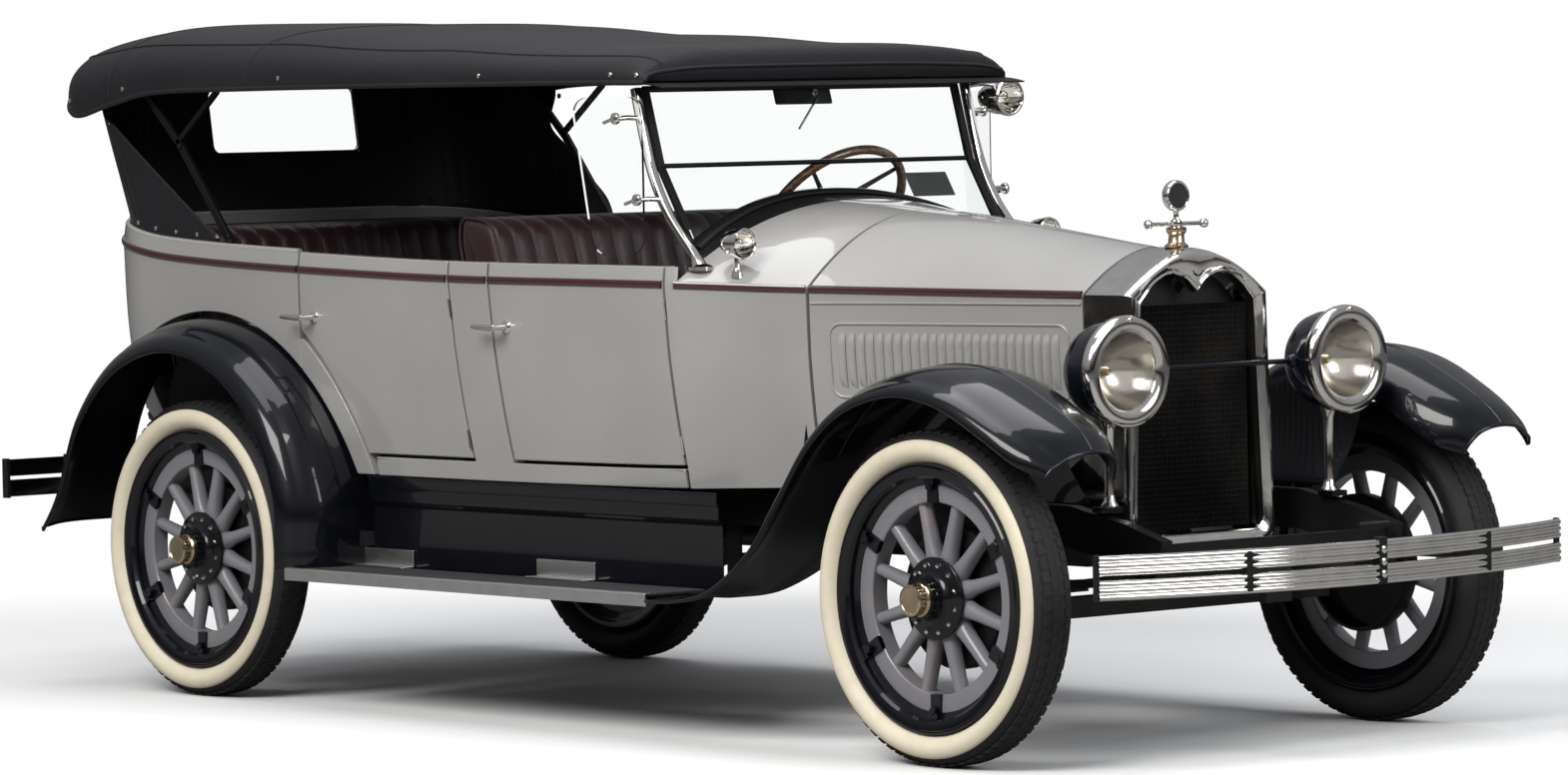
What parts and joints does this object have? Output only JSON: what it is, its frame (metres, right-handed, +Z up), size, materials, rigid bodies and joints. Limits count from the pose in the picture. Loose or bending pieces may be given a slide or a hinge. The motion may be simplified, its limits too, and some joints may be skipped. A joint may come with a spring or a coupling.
{
  "type": "touring car",
  "caption": "1920s five-seat touring car, grey body with black fenders, folding top raised, wood-spoke wheels with whitewall tyres, opening doors and hood, steering front wheels",
  "frame": {"origin": "on the ground, under the centre of the bounding box", "axes": "+X forwards, +Y to the car's left, +Z up"},
  "size_m": [4.48, 1.7162, 1.7775],
  "materials": {
    "body_grey": "gloss",
    "fender_black": "gloss",
    "chassis_black": "satin",
    "belt_maroon": "gloss",
    "iron": "matte",
    "nickel": "polished",
    "aluminium": "brushed",
    "spoke_grey": "painted gloss",
    "wood": "varnished",
    "leather": "pleated",
    "top_cloth": "coated cloth",
    "glass": "clear",
    "lens": "fluted",
    "tyre": "matte",
    "whitewall": "matte",
    "brass": "polished",
    "red_lens": "clear"
  },
  "bodies": {
    "car": {"frame": "chassis_black", "front_axle": "chassis_black", "leaf_springs": "iron", "rear_axle": "chassis_black", "engine": "iron", "exhaust": "iron", "fuel_tank": "chassis_black", "radiator_core": "iron", "radiator_shell": "nickel", "radiator_cap": "nickel", "cowl": "body_grey", "dashboard": "iron", "body_floor": "iron", "door_posts": "body_grey", "rear_body": "body_grey", "front_seat": "leather", "rear_seat": "leather", "windshield_posts": "nickel", "windshield_frame": "iron", "glass_panes": "glass", "canopy": "top_cloth", "top_bows": "iron", "rear_curtain": "top_cloth", "front_fenders": "fender_black", "rear_fenders": "fender_black", "running_boards": "fender_black", "splash_aprons": "fender_black", "front_bumper": "nickel", "rear_bumpers": "nickel", "headlamps": "fender_black", "cowl_lamps": "nickel", "spot_lamp": "nickel", "spare_carrier": "chassis_black", "spare_tyre": "tyre", "spare_wheel": "spoke_grey", "steering_column": "iron"},
    "front_door_right": {"front_door_right": "body_grey"},
    "front_door_left": {"front_door_left": "body_grey"},
    "rear_door_right": {"rear_door_right": "body_grey"},
    "rear_door_left": {"rear_door_left": "body_grey"},
    "hood_right": {"hood_right": "body_grey"},
    "hood_left": {"hood_left": "body_grey"},
    "knuckle_right": {"knuckle_right": "iron"},
    "knuckle_left": {"knuckle_left": "iron"},
    "tie_rod": {"tie_rod": "iron"},
    "steering_wheel": {"steering_wheel": "wood"},
    "front_wheel_right": {"front_wheel_right": "spoke_grey", "front_tyre_right": "tyre"},
    "front_wheel_left": {"front_wheel_left": "spoke_grey", "front_tyre_left": "tyre"},
    "rear_wheel_right": {"rear_wheel_right": "spoke_grey", "rear_tyre_right": "tyre"},
    "rear_wheel_left": {"rear_wheel_left": "spoke_grey", "rear_tyre_left": "tyre"}
  },
  "joints": [
    {"name": "front_door_right_hinge", "type": "hinge", "parent": "car", "child": "front_door_right", "pos_m": [0.42876, -0.61452, 0.9], "axis": [-0.0482, -0.1024, 0.9936], "range_deg": [0, 65]},
    {"name": "rear_door_right_hinge", "type": "hinge", "parent": "car", "child": "rear_door_right", "pos_m": [-0.33225, -0.68812, 0.9], "axis": [-0.1093, -0.0736, 0.9913], "range_deg": [0, 65]},
    {"name": "front_door_left_hinge", "type": "hinge", "parent": "car", "child": "front_door_left", "pos_m": [0.42876, 0.61452, 0.9], "axis": [0.0482, -0.1024, -0.9936], "range_deg": [0, 65]},
    {"name": "rear_door_left_hinge", "type": "hinge", "parent": "car", "child": "rear_door_left", "pos_m": [-0.33225, 0.68812, 0.9], "axis": [0.1093, -0.0736, -0.9913], "range_deg": [0, 65]},
    {"name": "hood_right_hinge", "type": "hinge", "parent": "car", "child": "hood_right", "pos_m": [0.708, 0, 1.268], "axis": [-0.9934, 0, 0.1143], "range_deg": [0, 60]},
    {"name": "hood_left_hinge", "type": "hinge", "parent": "car", "child": "hood_left", "pos_m": [0.708, 0, 1.268], "axis": [0.9934, 0, -0.1143], "range_deg": [0, 60]},
    {"name": "steer_right", "type": "hinge", "parent": "car", "child": "knuckle_right", "pos_m": [1.514, -0.622, 0.39], "axis": [0, 0, 1], "range_deg": [-27, 27]},
    {"name": "steer_left", "type": "hinge", "parent": "car", "child": "knuckle_left", "pos_m": [1.514, 0.622, 0.39], "axis": [0, 0, 1], "range_deg": [-27, 27]},
    {"name": "tie_rod_pivot", "type": "hinge", "parent": "knuckle_right", "child": "tie_rod", "pos_m": [1.319, -0.622, 0.374], "axis": [0, 0, 1], "range_deg": [-27, 27]},
    {"name": "steering_wheel_turn", "type": "hinge", "parent": "car", "child": "steering_wheel", "pos_m": [-0.08, 0.35, 1.25], "axis": [0.766, 0, -0.6428], "range_deg": [-324, 324]},
    {"name": "front_wheel_right_spin", "type": "hinge", "parent": "knuckle_right", "child": "front_wheel_right", "pos_m": [1.514, -0.711, 0.39], "axis": [0, 1, 0], "continuous": true},
    {"name": "rear_wheel_right_spin", "type": "hinge", "parent": "car", "child": "rear_wheel_right", "pos_m": [-1.394, -0.711, 0.39], "axis": [0, 1, 0], "continuous": true},
    {"name": "front_wheel_left_spin", "type": "hinge", "parent": "knuckle_left", "child": "front_wheel_left", "pos_m": [1.514, 0.711, 0.39], "axis": [0, 1, 0], "continuous": true},
    {"name": "rear_wheel_left_spin", "type": "hinge", "parent": "car", "child": "rear_wheel_left", "pos_m": [-1.394, 0.711, 0.39], "axis": [0, 1, 0], "continuous": true}
  ],
  "couplings": [
    {"joint": "steer_left", "follows": "steer_right", "ratio": 1},
    {"joint": "tie_rod_pivot", "follows": "steer_right", "ratio": -1},
    {"joint": "steering_wheel_turn", "follows": "steer_right", "ratio": -12}
  ]
}
